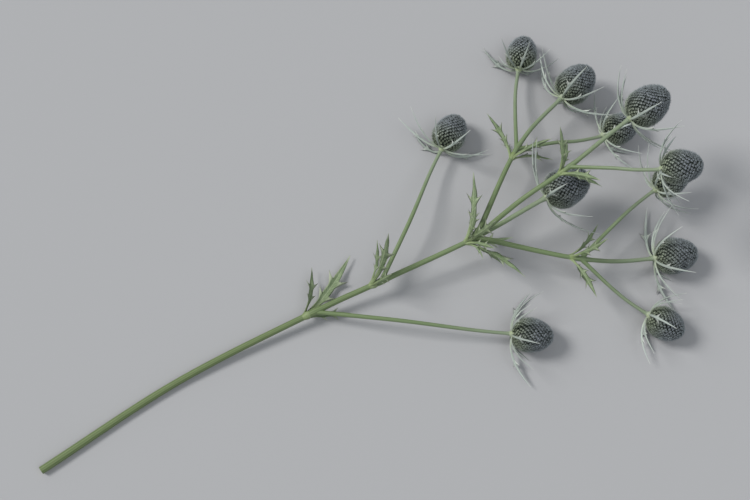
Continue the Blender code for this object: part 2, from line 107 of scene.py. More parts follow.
# Each shoot: its route from where it springs to the seat of its head, which way the head looks,
# the stem's radius where the shoot springs and at its neck, the head's length and width, and
# whether the head rests on the surface, which then sets the height of its seat.
RESTS, RAISED = True, False
SHOOTS = {
    "centre": (
        [CUT_END, (-0.2, 0.004, 0.0036), LOW_RIGHT_NODE, LOW_LEFT_NODE, MAIN_FORK,
         (0.106, 0.003, 0.0385)],
        (1.0, 0.03, 0.14), (CUT_RADIUS, 0.0017), (0.034, 0.027), RAISED),
    "left": (
        [MAIN_FORK, LEFT_FORK, (0.158, 0.072, 0.0225)],
        (1.0, 0.36, -0.02), (0.0021, 0.0015), (0.032, 0.025), RAISED),
    "left_inner": (
        [LEFT_FORK, (0.14, 0.043, 0.018), (0.176, 0.034, 0.0142)],
        (1.0, -0.06, 0.0), (0.0015, 0.0013), (0.027, 0.0215), RESTS),
    "left_outer": (
        [LEFT_FORK, (0.124, 0.082, 0.018), (0.142, 0.11, 0.0138)],
        (0.62, 0.80, 0.0), (0.0015, 0.0013), (0.026, 0.021), RESTS),
    "right": (
        [MAIN_FORK, RIGHT_FORK, (0.164, -0.07, 0.015)],
        (1.0, -0.34, 0.0), (0.0021, 0.0015), (0.031, 0.0245), RESTS),
    "right_inner": (
        [RIGHT_FORK, (0.146, -0.036, 0.027), (0.186, -0.026, 0.029)],
        (1.0, 0.12, 0.06), (0.0015, 0.0013), (0.027, 0.021), RAISED),
    "right_outer": (
        [RIGHT_FORK, (0.124, -0.078, 0.018), (0.14, -0.106, 0.0138)],
        (0.55, -0.84, 0.0), (0.0015, 0.0013), (0.027, 0.0215), RESTS),
    "upper": (
        [MAIN_FORK, (0.086, 0.006, 0.056), UPPER_FORK, (0.178, 0.02, 0.083)],
        (1.0, 0.16, 0.22), (0.002, 0.0015), (0.032, 0.0255), RAISED),
    "upper_side": (
        [UPPER_FORK, (0.15, -0.008, 0.085), (0.176, -0.026, 0.098)],
        (0.90, -0.42, 0.34), (0.0014, 0.0013), (0.027, 0.0215), RAISED),
    "low_left": (
        [LOW_LEFT_NODE, (0.01, 0.036, 0.021), (0.058, 0.078, 0.015)],
        (0.80, 0.60, 0.0), (0.0017, 0.0013), (0.028, 0.0225), RESTS),
    "low_right": (
        [LOW_RIGHT_NODE, (-0.03, -0.03, 0.018), (0.04, -0.074, 0.015)],
        (0.86, -0.50, 0.0), (0.0017, 0.0013), (0.029, 0.023), RESTS),
}

# Each whorl: the shoot that passes through it, its fork, the lobes of a leaf as (turn from the
# leaf's middle in degrees, share of its length), and its leaves as (turn about the stem in
# degrees, length).
THREE_LOBES = ((0.0, 1.0), (-27.0, 0.62), (27.0, 0.62))
ONE_LOBE = ((0.0, 1.0),)
WHORLS = {
    "main": ("centre", MAIN_FORK, THREE_LOBES,
             ((20.0, 0.05), (95.0, 0.046), (172.0, 0.05), (262.0, 0.044))),
    "left": ("left", LEFT_FORK, ONE_LOBE,
             ((10.0, 0.036), (130.0, 0.034), (215.0, 0.036), (300.0, 0.03))),
    "right": ("right", RIGHT_FORK, ONE_LOBE,
              ((0.0, 0.034), (75.0, 0.036), (160.0, 0.036), (250.0, 0.03))),
    "upper": ("upper", UPPER_FORK, ONE_LOBE,
              ((40.0, 0.034), (140.0, 0.036), (235.0, 0.034), (320.0, 0.032))),
    "low_left": ("centre", LOW_LEFT_NODE, THREE_LOBES, ((62.0, 0.052),)),
    "low_right": ("centre", LOW_RIGHT_NODE, THREE_LOBES, ((-68.0, 0.058),)),
}

# A blade's outline. Each station is (share of the length, half width), and each tooth is (share
# of the length, reach outwards, reach forwards). Widths are for a blade 40 mm long. Its twist is
# how far it turns its face upwards, from 0 to 1.
NOMINAL_LENGTH = 0.04
BRACT = {
    "stations": ((0.0, 0.001), (0.22, 0.0012), (0.42, 0.0016), (0.74, 0.0012)),
    "teeth": ((0.47, 0.0034, 0.004),),
    "twist": 0.2,
}
LEAF = {
    "stations": ((0.0, 0.0014), (0.20, 0.0015), (0.40, 0.0023), (0.60, 0.002), (0.82, 0.0011)),
    "teeth": ((0.32, 0.0036, 0.004), (0.56, 0.004, 0.0046)),
    "twist": 0.6,
}
TOOTH_BACK = 0.08
TOOTH_ON = 0.16
TOOTH_ROOM = 0.8
TOOTH_BASE = 0.06

# A ruff's bracts: how many, how long against the head, and how they spread, measured from the
# head's axis in degrees at the root and at the tip.
BRACT_COUNT = 8
TURN_WOBBLE = 7.0
BRACT_LENGTHS = (1.22, 1.52)
ROOT_SPREAD = 100.0
TIP_SPREADS = (32.0, 66.0)
LEAF_SPREADS = (44.0, 66.0)
SPREAD_EASE = 1.8

# How a blade that would cross something is shortened, turned and lifted.
SHORTER = (1.0, 0.86, 0.72, 0.56)
TURNS = (0.0, 9.0, -9.0, 18.0, -18.0, 27.0, -27.0)
LIFTS = (0.0, -14.0, 14.0, -28.0, 28.0)


def smooth_route(points, last_direction):
    """Points of a smooth curve through the given ones, which ends along last_direction."""
    points = [Vector(p) for p in points]
    slopes = [points[1] - points[0]]
    for before, after in zip(points, points[2:]):
        slopes.append((after - before) / 2)
    slopes.append(last_direction * (points[-1] - points[-2]).length)
    route = [points[0]]
    for i in range(len(points) - 1):
        steps = max(2, round((points[i + 1] - points[i]).length / RING_SPACING))
        for k in range(1, steps + 1):
            t = k / steps
            route.append(
                points[i] * (2 * t**3 - 3 * t**2 + 1)
                + slopes[i] * (t**3 - 2 * t**2 + t)
                + points[i + 1] * (3 * t**2 - 2 * t**3)
                + slopes[i + 1] * (t**3 - t**2)
            )
    return route


def head_radius(height, length, width):
    """The egg's radius at a height above its base."""
    widest = WIDEST_AT * length
    span = widest if height < widest else length - widest
    share = min(1.0, abs(height - widest) / span)
    return width / 2 * math.sqrt(1 - share**2)


def seat_matrix(seat, looks):
    """Places a piece that was made on the origin, along +Z, at a shoot's end."""
    return Matrix.Translation(seat) @ looks.to_track_quat("Z", "Y").to_matrix().to_4x4()


def resting_height(width):
    """The height of the seat at which a level head's lowest florets just reach the surface."""
    return width / 2 * math.cos(math.pi / FLORET_COLUMNS) + FLORET_HEIGHT - FLORET_SHORTFALL


def grow_shoots():
    """Each shoot with its smooth route, its ring radii, its head's seat and the way it looks."""
    grown = {}
    for name, (points, looks, (first, last), (length, width), rests) in SHOOTS.items():
        looks = Vector(looks).normalized()
        seat = Vector(points[-1])
        if rests:
            seat.z = resting_height(width)
        route = smooth_route([*points[:-1], seat - looks * STRAIGHT_NECK], looks)
        steps = len(route) - 1
        radii = [first + (last - first) * i / steps for i in range(len(route))]
        route.append(seat)
        radii.append(last * NECK_FLARE)
        grown[name] = {"route": route, "radii": radii, "seat": seat, "looks": looks,
                       "length": length, "width": width}
    return grown


def with_midpoints(values):
    """The values with the middle of each pair of neighbours between them."""
    more = []
    for a, b in zip(values, values[1:]):
        more += [a, (a + b) / 2]
    return [*more, values[-1]]


class Clearance:
    """What a new blade has to stay clear of: stems, heads, blades of other pieces and, past
    their roots, the blades of its own piece. All but the heads are rows of small balls."""

    def __init__(self, shoots):
        self.shoots = shoots
        self.points, self.radii, self.owners, self.steps = [], [], [], []
        for shoot in shoots.values():
            for a, b, r in zip(shoot["route"], shoot["route"][1:], shoot["radii"]):
                for k in range(BALLS_A_RING):
                    self.add(a.lerp(b, k / BALLS_A_RING), r, "stem", 0)

    def add(self, point, radius, owner, step):
        self.points.append(tuple(point))
        self.radii.append(radius)
        self.owners.append(owner)
        self.steps.append(step)

    def add_blade(self, line, reach, owner):
        for i, (point, radius) in enumerate(zip(with_midpoints(line), with_midpoints(reach))):
            if i / 2 >= ROOT_STEPS:
                self.add(point, radius, owner, i / 2)

    def in_a_head(self, points, reach):
        for shoot in self.shoots.values():
            for point, radius in zip(points, reach):
                local, looks = point - shoot["seat"], shoot["looks"]
                height = local.dot(looks) - HEAD_LIFT
                if not -radius < height < shoot["length"] + FLORET_HEIGHT + radius:
                    continue
                out = (local - looks * local.dot(looks)).length
                inside = min(max(height, 0.0), shoot["length"])
                solid = head_radius(inside, shoot["length"], shoot["width"]) + FLORET_HEIGHT
                if out < solid + radius:
                    return True
        return False

    def touches(self, line, reach, which, clearance):
        fixed = np.array(self.points)[which]
        room = np.array(self.radii)[which]
        for point, radius in zip(line, reach):
            apart = np.linalg.norm(fixed - np.array(point), axis=1)
            if (apart < room + radius + clearance).any():
                return True
        return False

    def is_clear(self, line, reach, owner):
        line = with_midpoints(line)
        reach = with_midpoints(reach)
        past_root = 2 * ROOT_STEPS
        past_sisters = 2 * SISTER_STEPS
        own = np.array([o == owner for o in self.owners])
        sisters = own & (np.array(self.steps) >= SISTER_STEPS)
        if self.in_a_head(line[past_root:], [r + BLADE_CLEARANCE for r in reach[past_root:]]):
            return False
        if self.touches(line[past_root:], reach[past_root:], ~own, BLADE_CLEARANCE):
            return False
        return not self.touches(line[past_sisters:], reach[past_sisters:], sisters,
                                SISTER_CLEARANCE)


def blade_line(root, axis, out, length, root_spread, tip_spread):
    """A blade's middle line. It leaves the root at root_spread from the axis, turns to
    tip_spread, and runs along the surface where it would go through it."""
    step = length / BLADE_STEPS
    line = [root.copy()]
    for k in range(BLADE_STEPS):
        still_to_turn = (1 - (k + 0.5) / BLADE_STEPS) ** SPREAD_EASE
        spread = math.radians(tip_spread + (root_spread - tip_spread) * still_to_turn)
        way = axis * math.cos(spread) + out * math.sin(spread)
        above = line[-1].z - LOWEST_BLADE
        if way.z < 0 and above < FLATTENS_BELOW:
            way.z *= max(0.0, above - step * 0.5) / FLATTENS_BELOW
            way.normalize()
        line.append(line[-1] + way * step)
    return line


def blade_frames(line, side, twist):
    """At each point of the line: the point, the way forwards, sideways, and out of the face,
    which turns upwards by the share twist, and fully near the surface."""
    frames = []
    last_level = side
    for i, point in enumerate(line):
        forward = (line[min(i + 1, len(line) - 1)] - line[max(i - 1, 0)]).normalized()
        across = (side - forward * side.dot(forward)).normalized()
        level = UP.cross(forward)
        if level.dot(last_level) < 0:
            level.negate()
        last_level = level
        near = 1 - min(1.0, max(0.0, point.z - LOWEST_BLADE) / FLATTENS_BELOW)
        share = max(near, twist) * min(1.0, 2 * i / BLADE_STEPS) * min(1.0, 2 * level.length)
        angle = math.atan2(forward.dot(across.cross(level)), across.dot(level))
        across = Matrix.Rotation(angle * share, 3, forward) @ across
        frames.append((point, forward, across, forward.cross(across).normalized()))
    return frames


def frame_at(frames, share):
    """The frame at a share of the blade's length, between two of its steps."""
    place = min(share, 1.0) * (len(frames) - 1)
    i = min(int(place), len(frames) - 2)
    parts = zip(frames[i], frames[i + 1])
    return [a.lerp(b, place - i) for a, b in parts]


def half_width(outline, share):
    """The outline's half width at a share of the length, with straight lines between stations."""
    stations = [*outline["stations"], (1.0, 0.0)]
    for (s0, w0), (s1, w1) in zip(stations, stations[1:]):
        if share <= s1:
            return w0 + (w1 - w0) * (share - s0) / (s1 - s0)
    return 0.0


def reach_of(outline, scale):
    """How far the blade reaches from its middle line at each step, its teeth included."""
    reach = []
    for i in range(BLADE_STEPS + 1):
        share = i / BLADE_STEPS
        wide = half_width(outline, share)
        for at, outwards, _ in outline["teeth"]:
            if at - TOOTH_BACK < share < at + TOOTH_ON:
                wide += outwards * TOOTH_ROOM
        reach.append(max(wide * scale, HALF_THICKNESS))
    return reach


def blade_rings(frames, outline, scale):
    """The blade's sections from root to tip, each a left edge, a top, a right edge and a bottom.
    The edges are pushed out and forwards where a tooth stands."""
    places = [(share, half_width(outline, share), 0.0) for share, _ in outline["stations"]]
    for at, outwards, forwards in outline["teeth"]:
        places.append((at, half_width(outline, at) + outwards, forwards))
        places.append((at + TOOTH_BASE, half_width(outline, at + TOOTH_BASE), 0.0))
    rings = []
    for share, wide, forwards in sorted(places):
        point, forward, across, normal = frame_at(frames, share)
        edge_lift = normal * (BLADE_FOLD * half_width(outline, share) * scale)
        reach = across * (wide * scale)
        along = forward * (forwards * scale)
        thick = normal * HALF_THICKNESS
        rings.append((point + reach + along + edge_lift, point + thick,
                      point - reach + along + edge_lift, point - thick))
    return rings


def place_blade(clearance, owner, seat, outline, turn, length, spreads):
    """The frames of a blade that is clear of every other piece, or None if none is found.
    seat gives the root circle's centre, the axis, the direction of turn 0, and its radius."""
    centre, axis, zero, radius = seat
    scale = length / NOMINAL_LENGTH
    for shorter in SHORTER:
        reach = reach_of(outline, scale * shorter)
        for lift in LIFTS:
            for more in TURNS:
                out = Matrix.Rotation(math.radians(turn + more), 3, axis) @ zero
                root = centre + out * (radius - ROOT_DEPTH)
                line = blade_line(root, axis, out, length * shorter, spreads[0], spreads[1] + lift)
                frames = blade_frames(line, axis.cross(out), outline["twist"])
                rings = blade_rings(frames, outline, scale * shorter)
                if min(corner.z for ring in rings for corner in ring) < 0:
                    continue
                if clearance.is_clear(line, reach, owner):
                    clearance.add_blade(line, reach, owner)
                    return frames, scale * shorter
    return None


def place_whorls(shoots, clearance):
    """The collar and the leaf lobes of each whorl."""
    placed = {}
    for name, (through, fork, lobes, leaves) in WHORLS.items():
        route, radii = shoots[through]["route"], shoots[through]["radii"]
        at = min(range(len(route)), key=lambda i: (route[i] - fork).length)
        axis = (route[at] - route[at - 1]).normalized()
        centre = route[at] - axis * WHORL_BELOW_FORK
        inner = radii[at] + WHORL_GAP
        middle = inner + WHORL_WALL / 2
        zero = axis.cross(Vector((0, 1, 0))).cross(axis).normalized()
        seat = (centre, axis, zero, middle + ROOT_DEPTH)
        blades = []
        for turn, length in leaves:
            for lobe_turn, share in lobes:
                blade = place_blade(clearance, "whorl_" + name, seat, LEAF, turn + lobe_turn,
                                    length * share, LEAF_SPREADS)
                if blade:
                    blades.append(blade)
        placed[name] = {"centre": centre, "axis": axis, "inner": inner, "blades": blades}
    return placed


def place_ruffs(shoots, clearance):
    """The bracts of each ruff, spread evenly round the head with small seeded differences."""
    placed = {}
    for number, (name, shoot) in enumerate(shoots.items()):
        rng = random.Random(number + 1)
        looks = shoot["looks"]
        centre = shoot["seat"] + looks * (SEAT_GAP + COLLAR_HEIGHT / 2)
        zero = looks.cross(UP).normalized()
        seat = (centre, looks, zero, COLLAR_RADIUS)
        phase = rng.uniform(0, 360 / BRACT_COUNT)
        blades = []
        for k in range(BRACT_COUNT):
            wobble = rng.uniform(-TURN_WOBBLE, TURN_WOBBLE)
            turn = phase + 360 * k / BRACT_COUNT + wobble
            length = shoot["length"] * rng.uniform(*BRACT_LENGTHS)
            spreads = (ROOT_SPREAD, rng.uniform(*TIP_SPREADS))
            blade = place_blade(clearance, "ruff_" + name, seat, BRACT, turn, length, spreads)
            if blade:
                blades.append(blade)
        placed[name] = {"centre": centre, "blades": blades}
    return placed


# A fine head's florets: their spacing, the turn from one to the next, the egg's radius where
# they start, and how far each may stray, in spacings.
FLORET_SPACING = 0.0023
GOLDEN_TURN = math.radians(137.508)
FLORETS_FROM = 0.0045
SCATTER = 0.15
LEAST_RADIUS = 0.002

# They lean towards the head's tip, most at its base, and are smaller at its tip.
LEAN = 0.25
BASE_LEAN = 0.5
LEAN_SETTLED = 0.3
FLORET_SIZES = (0.84, 1.10)
TIP_SHRINKING = 0.14

# A head narrower than the ripe width is greener, by this much for each metre.
RIPE_WIDTH = 0.027
YOUNG_GREEN = 22.0

# The core between the florets, just inside the egg that they stand on, painted near black as
# painted shade.
PROFILE_STEPS = 240
SLOPE_STEP = 1e-4
CORE_INSET = 0.0002
CORE_RINGS = 26
CORE_END = 0.00005
CORE_PAINTED_SHADE = -0.3
LATHE_SIDES = 28

# A floret of width 1. Each place is (turn in degrees, radius, height, shade), where the shade is
# painted shade from 0 in the gaps and low in the cup to 1 at the pale tips. A sepal's are its two
# edges and keel, the same three higher up, its tip, and its back, high and low. Its faces number
# them from 0, and the cup's foot comes last.
SEPALS = 5
SEPAL_TURN = 360 / SEPALS
CUP_FOOT = (0.0, 0.30, -0.25, 0.0)
SEPAL = ((-33.0, 0.43, 0.34, 0.25), (33.0, 0.43, 0.34, 0.25), (0.0, 0.53, 0.32, 0.35),
         (-20.0, 0.41, 0.60, 0.6), (20.0, 0.41, 0.60, 0.6), (0.0, 0.52, 0.66, 0.75),
         (0.0, 0.36, 1.0, 1.0), (0.0, 0.36, 0.56, 0.3), (0.0, 0.36, 0.30, 0.0))
SEPAL_FACES = ((0, 2, 5), (0, 5, 3), (2, 1, 4), (2, 4, 5), (3, 5, 6), (5, 4, 6), (0, 3, 7),
               (0, 7, 8), (1, 8, 7), (1, 7, 4), (3, 6, 7), (7, 6, 4), (9, 2, 0), (9, 1, 2))
PETAL_TOP = (0.0, 0.0, 0.72, 0.85)
PETAL_EDGE = (SEPAL_TURN / 2, 0.36, 0.46, 0.4)
BRACTEOLE_FOOT = ((-82.0, 0.52, 0.0, 0.2), (-98.0, 0.52, 0.0, 0.2), (-90.0, 0.68, 0.02, 0.2))
BRACTEOLE_TOP = ((-86.0, 0.56, 0.70, 0.8), (-94.0, 0.56, 0.70, 0.8), (-90.0, 0.66, 0.72, 0.8))
BRACTEOLE_POINT = (-90.0, 0.62, 1.36, 1.1)

# A fine blade's sections: evenly along it, about each tooth in shares of its half length, and
# near its tip.
BLADE_SECTIONS = 26
TOOTH_PLACES = (-1.0, -0.72, -0.5, -0.3, -0.14, 0.0, 0.14, 0.3, 0.5, 0.72, 1.0)
TOOTH_HALF = 0.055
TOOTH_SHARPNESS = 1.7
LAST_SECTION = 0.975
ROUNDING = (-0.06, -0.03, 0, 0.03, 0.06)

# A section's points as (face, share of the half width), over the upper face and back under the
# lower one. By the power, points near the midrib follow a tooth less.
ACROSS = (1.0, 0.58, 0.13, 0.0, -0.13, -0.58, -1.0)
SECTION = [(1, a) for a in ACROSS] + [(-1, a) for a in ACROSS[-2:0:-1]]
TOOTH_POWER = 4
ROOT_THICKNESS = 0.00034
TIP_THICKNESS = 0.0001
FINE_FOLD = 0.5
FOLD_POWER = 1.4
RIB_RISES = {1: 0.5 * 0.00026, -1: -1.3 * 0.00026}

# The ripple along a blade's edges, and where its tip turns pale.
RIPPLES = 19
RIPPLE_OFFSET = 1.7
RIPPLE_WIDTH = 0.0026
PALE_FROM = 0.86
PALE_RISE = 7
FINE_BRACT = {"outline": BRACT, "narrowing": 0.8, "wave": 0.00015}
FINE_LEAF = {"outline": LEAF, "narrowing": 1.0, "wave": 0.0006}

# The heel, where a blade comes out of the stem's skin.
HEEL_SHARES = (-0.1, -0.07, -0.04)
HEEL_DEPTH = 0.0036
HEEL_RADIUS = 0.55
HEEL_NARROWING = 7.5

# The cup under a head, as (radius, height), and the sheath of a whorl, as (wall, more radius,
# height). Heights are in halves of the collar and of the whorl.
RUFF_CUP = ((0.0015, -3.2), (0.002, -1.8), (0.0026, -0.8), (0.0031, 0.2), (0.0034, 1.0),
            (0.0038, 2.0), (0.003, 3.0))
SHEATH = (("inner", 0.0, -2.0), ("inner", 0.0003, -1.2), ("outer", -0.0002, -0.4),
          ("outer", 0.0, 0.3), ("outer", -0.0001, 0.8), ("inner", 0.0004, 1.4), ("inner", 0.0, 2.0))
SHEATH_WALL = 0.2

# The stem's fine rings, ribs and swelling forks, and its cut face as (share of the radius, pith).
STEM_SIDES = 40
FINE_SPACING = 0.0024
STEM_RIBS = 10
RIB_SHARE = 0.03
NODE_SWELLING = 0.28
NODE_LENGTH = 0.0045
CUT_RINGS = ((1.0, 0.0), (0.93, 0.15), (0.86, 0.35), (0.60, 0.75), (0.30, 1.0))
RIND_VALUE = 0.3
PITH_VALUE = 0.7

# Colours as linear red, green and blue. A floret's run from its gaps, near black as painted
# shade, to its pale tips.
FLORET_BLUES = ((0.0, (0.018, 0.03, 0.024)), (0.35, (0.145, 0.18, 0.168)),
                (0.70, (0.432, 0.488, 0.51)), (1.0, (0.7, 0.755, 0.785)))
FLORET_GREENS = ((0.0, (0.016, 0.026, 0.012)), (0.35, (0.15, 0.195, 0.115)),
                 (0.70, (0.41, 0.48, 0.35)), (1.0, (0.66, 0.72, 0.58)))
BLUE_PETAL = (0.47, 0.485, 0.59)
GREEN_PETAL = (0.42, 0.48, 0.34)
PETAL_SHARE = 0.6
LEAF_COLOURS = {
    "root": (0.19, 0.25, 0.09), "middle": (0.085, 0.135, 0.06), "tip": (0.11, 0.165, 0.085),
    "rib": (0.33, 0.4, 0.24), "spine": (0.42, 0.47, 0.33), "veins": 0.5,
}
BRACT_COLOURS = {
    "root": (0.33, 0.385, 0.22), "middle": (0.285, 0.34, 0.305), "tip": (0.38, 0.425, 0.415),
    "rib": (0.5, 0.545, 0.51), "spine": (0.6, 0.625, 0.58), "veins": 0.2,
}
STEM_GREENS = ((0.0, (0.25, 0.305, 0.215)), (0.25, (0.165, 0.23, 0.11)),
               (1.0, (0.13, 0.18, 0.07)))
STEM_RIB = (0.32, 0.39, 0.205)
STEM_STREAK = (0.08, 0.115, 0.045)
STEM_FLECK = (0.21, 0.17, 0.085)
CUT_COLOURS = ((0.30, (0.25, 0.33, 0.12)), (0.55, (0.4, 0.45, 0.21)),
               (0.80, (0.62, 0.64, 0.45)), (1.0, (0.72, 0.72, 0.58)))
CUT_STARTS = 0.25
SURFACE_GREY = (0.4, 0.4, 0.408)

# The patterns of blades and stem. Streaks are (scale, (stretch across, stretch along), detail).
PATCH_SCALE = 160.0
STRIPES = (6.0, (3.0, 1.5), 4.0)
VEIN_TURNS = 62.0
VEIN_SLANT = -5.0
VEIN_BEND = 2.5
VEIN_SHARPNESS = 14.0
VEIN_DEPTH = -0.6
NET_SCALE = 900.0
COLOUR_SCALE = 4.0
STREAKS = (9.0, (4.0, 12.0), 5.0)
FLECK_SCALE = 700.0
GRAIN_SCALE = 1500.0

# The view from above, and the plain surface that the stem lies on.
VIEW_TURN = -26.0
VIEW_HEIGHT = 76.0
CAMERA_DISTANCE = 1.09
CAMERA_LENS = 70.0
CAMERA_AIM = (0.026, 0.023, 0.033)
NEAREST_SEEN = 0.01
FLOOR_SIZE = 60.0

# The distant lamps: the place each shines from, its width in degrees, its strength and colour.
LAMPS = {
    "window": ((-1.0, 1.0, 1.4), 20.0, 2.33, (1.0, 0.99, 0.97)),
    "sky": ((0.7, -0.8, 1.9), 40.0, 0.54, (0.94, 0.97, 1.0)),
}
AIR_COLOUR = (0.90, 0.95, 1.0)
AIR_STRENGTH = 0.42


class Shape:
    """Points, faces and values at the points, which grow part by part into one mesh."""

    def __init__(self):
        self.points, self.faces, self.values = [], [], {}
        self.count = 0

    def add(self, points, faces, **values):
        points = np.asarray(points, dtype=float)
        for name, value in values.items():
            filled = np.broadcast_to(np.asarray(value, dtype=float), (len(points),))
            self.values.setdefault(name, []).append(filled)
        self.points.append(points)
        self.faces.extend((np.asarray(faces) + self.count).tolist())
        self.count += len(points)


def new_object(name, data):
    made = bpy.data.objects.new(name, data)
    bpy.context.scene.collection.objects.link(made)
    return made


def mesh_object(name, shape, material):
    """One smooth object from a shape, moved with the whole stem and kept above the surface."""
    points = np.concatenate(shape.points) + np.array(TO_ORIGIN)
    points[:, 2] = np.maximum(points[:, 2], 0.0)
    mesh = bpy.data.meshes.new(name)
    mesh.from_pydata(points.tolist(), [], shape.faces)
    for value, parts in shape.values.items():
        attribute = mesh.attributes.new(value, "FLOAT", "POINT")
        attribute.data.foreach_set("value", np.concatenate(parts).astype(np.float32))
    mesh.update()
    mesh.shade_smooth()
    mesh.materials.append(material)
    return new_object(name, mesh)


def ring_faces(rings, sides):
    """Triangles between neighbouring rings of points that are numbered in turn."""
    faces = []
    for i in range(rings - 1):
        for k in range(sides):
            a = i * sides + k
            b = i * sides + (k + 1) % sides
            faces += [(a, b, b + sides), (a, b + sides, a + sides)]
    return faces


def lathe(profile):
    """Points and faces of a surface turned about +Z, from (radius, height) pairs."""
    points = []
    for radius, height in profile:
        for k in range(LATHE_SIDES):
            turn = 2 * math.pi * k / LATHE_SIDES
            points.append((radius * math.cos(turn), radius * math.sin(turn), height))
    return np.array(points), ring_faces(len(profile), LATHE_SIDES)


def unit_rows(vectors):
    return vectors / np.linalg.norm(vectors, axis=1)[:, None]


def placed_points(points, matrix):
    """The points turned and moved by a 4 x 4 matrix."""
    matrix = np.array(matrix)
    return points @ matrix[:3, :3].T + matrix[:3, 3]


def curve_through(points, index, t):
    """Places on the smooth curve through the points, each the share t past the point at index."""
    before = points[np.maximum(index - 1, 0)]
    near, far = points[index], points[index + 1]
    after = points[np.minimum(index + 2, len(points) - 1)]
    return 0.5 * (2 * near + (far - before) * t + (2 * before - 5 * near + 4 * far - after) * t**2
                  + (3 * near - before - 3 * far + after) * t**3)


def floret_template():
    """One floret of width 1 standing on the origin along +Z: a cup, five keeled pointed sepals,
    a small dome of petals, and the stiff bracteole at its lower side, towards -Y."""
    # Each point's shade is painted shade: 0 at the cup's foot, low on the sepals and petals, 1 at
    # the tips.
    points, painted_shades_to_tips, petals, faces = [], [], [], []

    def put(turn, place, petal=0.0):
        more, radius, height, shade = place
        angle = math.radians(turn + more)
        points.append((radius * math.cos(angle), radius * math.sin(angle), height))
        painted_shades_to_tips.append(shade)
        petals.append(petal)
        return len(points) - 1

    turns = [SEPAL_TURN * k for k in range(SEPALS)]
    feet = [put(turn, CUP_FOOT) for turn in turns]
    sepals = [[*(put(turn, place) for place in SEPAL), foot] for turn, foot in zip(turns, feet)]
    faces += [tuple(sepal[i] for i in face) for sepal in sepals for face in SEPAL_FACES]
    for one, after in zip(sepals, sepals[1:] + sepals[:1]):
        faces += [(one[-1], after[-1], one[1]), (after[-1], after[0], one[1])]
    top = put(0, PETAL_TOP, 1.0)
    edge = [put(turn, PETAL_EDGE, 1.0) for turn in turns]
    faces += [(top, edge[k], edge[(k + 1) % SEPALS]) for k in range(SEPALS)]
    low = [put(0, place) for place in BRACTEOLE_FOOT]
    high = [put(0, place) for place in BRACTEOLE_TOP]
    point = put(0, BRACTEOLE_POINT)
    for k in range(len(low)):
        after = (k + 1) % len(low)
        faces += [(low[k], low[after], high[after]), (low[k], high[after], high[k]),
                  (high[k], high[after], point)]
    return np.array(points), painted_shades_to_tips, petals, faces


def egg_profile(length, width):
    """Heights and radii along the egg's outline, with the area below each height."""
    heights = np.linspace(0, length, PROFILE_STEPS)
    radii = np.array([head_radius(h, length, width) for h in heights])
    steps = np.hypot(np.diff(heights), np.diff(radii))
    areas = np.concatenate([[0], np.cumsum(math.pi * (radii[1:] + radii[:-1]) * steps)])
    return heights, radii, areas


def add_core(shape, heights, radii, seat):
    """The egg that shows between the florets, painted near black as painted shade."""
    picked = np.linspace(0, PROFILE_STEPS - 1, CORE_RINGS).astype(int)
    points, faces = lathe([(max(radii[i] - CORE_INSET, CORE_END), heights[i]) for i in picked])
    shape.add(placed_points(points, seat), faces, tip=CORE_PAINTED_SHADE, petal=0.0, tone=0.5, row=0.5)


def set_floret(template, k, height, row, heights, radii, rng):
    """Floret k's points. It stands on the egg at a height and leans towards its tip."""
    radius = float(np.interp(height, heights, radii))
    slope = (np.interp(height + SLOPE_STEP, heights, radii)
             - np.interp(height - SLOPE_STEP, heights, radii)) / (2 * SLOPE_STEP)
    stray = rng.uniform(-SCATTER, SCATTER) * FLORET_SPACING / max(radius, LEAST_RADIUS)
    turn = k * GOLDEN_TURN + stray
    outward = Vector((math.cos(turn), math.sin(turn), 0))
    normal = (outward - Vector((0, 0, slope))).normalized()
    lean = BASE_LEAN + (LEAN - BASE_LEAN) * min(1.0, row / LEAN_SETTLED)
    tilt = Vector((rng.uniform(-SCATTER, SCATTER), rng.uniform(-SCATTER, SCATTER), lean))
    up = (normal + tilt).normalized()
    place = outward * radius + Vector((0, 0, height)) - normal * CORE_INSET
    side = UP.cross(outward)
    across = (side - up * side.dot(up)).normalized()
    twist = Matrix.Rotation(math.radians(rng.uniform(-SEPAL_TURN / 2, SEPAL_TURN / 2)), 3, "Z")
    axes = Matrix((across, up.cross(across), up)).transposed() @ twist
    size = FLORET_SPACING * rng.uniform(*FLORET_SIZES) * (1.0 - TIP_SHRINKING * row**3)
    return (template * size) @ np.array(axes).T + np.array(place)


def head_shape(name, shoot):
    """A head's core with its florets, set in the spirals that plants grow them in."""
    rng = random.Random("head " + name)
    length, width = shoot["length"], shoot["width"]
    heights, radii, areas = egg_profile(length, width)
    seat = seat_matrix(shoot["seat"] + shoot["looks"] * HEAD_LIFT, shoot["looks"])
    shape = Shape()
    add_core(shape, heights, radii, seat)
    template, painted_shades_to_tips, petals, faces = floret_template()
    youth = (RIPE_WIDTH - width) * YOUNG_GREEN
    start = areas[np.argmax(radii > FLORETS_FROM)]
    count = int((areas[-1] - start) / (FLORET_SPACING**2 * math.sqrt(3) / 2))
    for k in range(count):
        area = start + (areas[-1] - start) * (k + 0.5 + rng.uniform(-1, 1)) / count
        height = float(np.interp(min(max(area, start), areas[-1]), areas, heights))
        row = height / length
        points = set_floret(template, k, height, row, heights, radii, rng)
        # The tip value darkens each floret's cup and lower sepals as painted shade.
        shape.add(placed_points(points, seat), faces, tip=painted_shades_to_tips, petal=petals,
                  tone=rng.random(), row=row - youth)
    return shape


